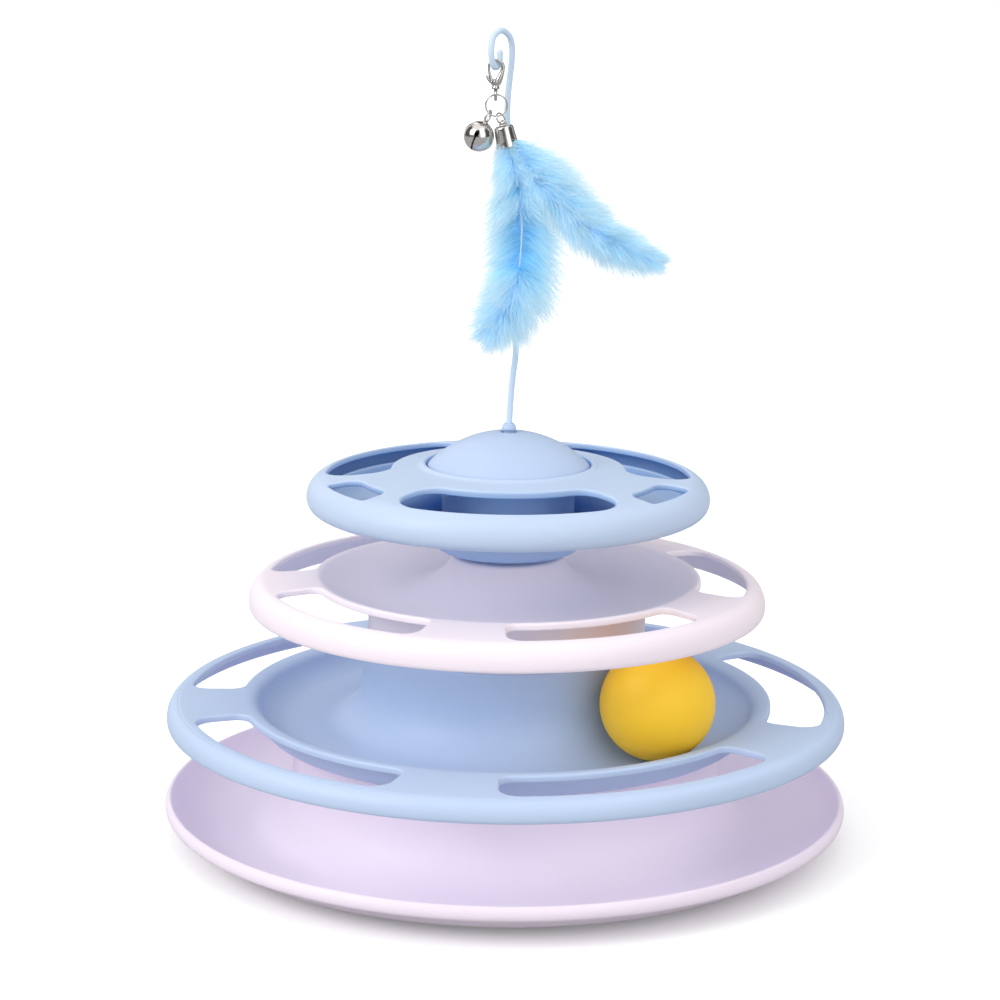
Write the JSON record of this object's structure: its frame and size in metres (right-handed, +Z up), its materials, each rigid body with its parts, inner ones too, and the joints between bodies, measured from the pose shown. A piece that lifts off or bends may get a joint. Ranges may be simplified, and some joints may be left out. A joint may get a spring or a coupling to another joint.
{
  "type": "cat ball track toy",
  "caption": "Tiered cat track toy: round base tray, stacked track tiers with paw slots, a ball, a spinning top disc, and a spring wire wand with a bell and a feather teaser.",
  "frame": {"origin": "centre of the footprint, on the floor under the rubber feet", "axes": "+Z up along the axis that the tiers share, -Y towards the front, +X to the right"},
  "size_m": [0.25, 0.25, 0.2933],
  "materials": {
    "tray_plastic": "satin moulded pink-lilac plastic",
    "blue_plastic": "satin moulded pale blue plastic",
    "lilac_plastic": "satin moulded pale lilac plastic",
    "foot_rubber": "matte",
    "steel": "plain zinc plated steel",
    "washer_plastic": "slippery natural nylon",
    "nickel": "polished nickel plating",
    "wire_coating": "soft plastic coating on spring wire",
    "feather": "dyed down feather",
    "ball_plastic": "satin orange plastic"
  },
  "bodies": {
    "base": {"base_tray": "tray_plastic", "rubber_feet": "foot_rubber", "lower_track": "blue_plastic", "upper_track": "lilac_plastic", "spindle": "steel", "thrust_washer": "washer_plastic", "retaining_washer": "steel", "spindle_screw": "steel"},
    "turntable": {"turntable_shell": "blue_plastic", "turntable_cover": "blue_plastic", "cover_screws": "steel", "dome_cap": "blue_plastic"},
    "wand": {"wand_foot": "blue_plastic", "wand_wire": "wire_coating"},
    "clasp": {"clasp_body": "nickel", "clasp_pin": "nickel"},
    "clasp_gate": {"clasp_lever": "nickel"},
    "eye": {"swivel_eye": "nickel"},
    "ring": {"split_ring": "nickel"},
    "bell": {"bell_upper_shell": "nickel", "bell_lower_shell": "nickel"},
    "pellet": {"bell_pellet": "steel"},
    "teaser": {"link_ring": "nickel", "feather_ferrule": "nickel", "plume_long": "feather", "plume_side": "feather"},
    "ball": {"ball_upper_half": "ball_plastic", "ball_lower_half": "ball_plastic"}
  },
  "joints": [
    {"name": "turntable_spin", "type": "hinge", "parent": "base", "child": "turntable", "pos_m": [0, 0, 0.12], "axis": [0, 0, 1], "continuous": true},
    {"name": "ball_roll", "type": "hinge", "parent": "base", "child": "ball", "pos_m": [0, 0, 0.0633], "axis": [0, 0, 1], "continuous": true},
    {"name": "wand_sway", "type": "hinge", "parent": "turntable", "child": "wand", "pos_m": [0, 0, 0.1486], "axis": [0, 1, 0], "range_deg": [-8, 8], "stiffness_Nm_per_rad": 0.4},
    {"name": "clasp_swing", "type": "hinge", "parent": "wand", "child": "clasp", "pos_m": [-0.006, -0.0068, 0.2796], "axis": [0, 1, 0], "range_deg": [-8, 15]},
    {"name": "clasp_gate", "type": "hinge", "parent": "clasp", "child": "clasp_gate", "pos_m": [-0.00785, -0.0068, 0.2753], "axis": [0, 1, 0], "range_deg": [0, 8], "stiffness_Nm_per_rad": 0.001},
    {"name": "eye_swivel", "type": "hinge", "parent": "clasp", "child": "eye", "pos_m": [-0.006, -0.0068, 0.2745], "axis": [0, 0, 1], "range_deg": [-15, 0]},
    {"name": "ring_swing", "type": "hinge", "parent": "eye", "child": "ring", "pos_m": [-0.006, -0.0068, 0.27], "axis": [0, 1, 0], "range_deg": [-6, 10]},
    {"name": "bell_swing", "type": "hinge", "parent": "ring", "child": "bell", "pos_m": [-0.00816, -0.0068, 0.26357], "axis": [0, 1, 0], "range_deg": [0, 25]},
    {"name": "pellet_rattle", "type": "slide", "parent": "bell", "child": "pellet", "axis": [0, 0, 1], "range_m": [0, 0.004]},
    {"name": "teaser_swing", "type": "hinge", "parent": "ring", "child": "teaser", "pos_m": [-0.00473, -0.0068, 0.26278], "axis": [0, 1, 0], "range_deg": [-15, 0]}
  ]
}
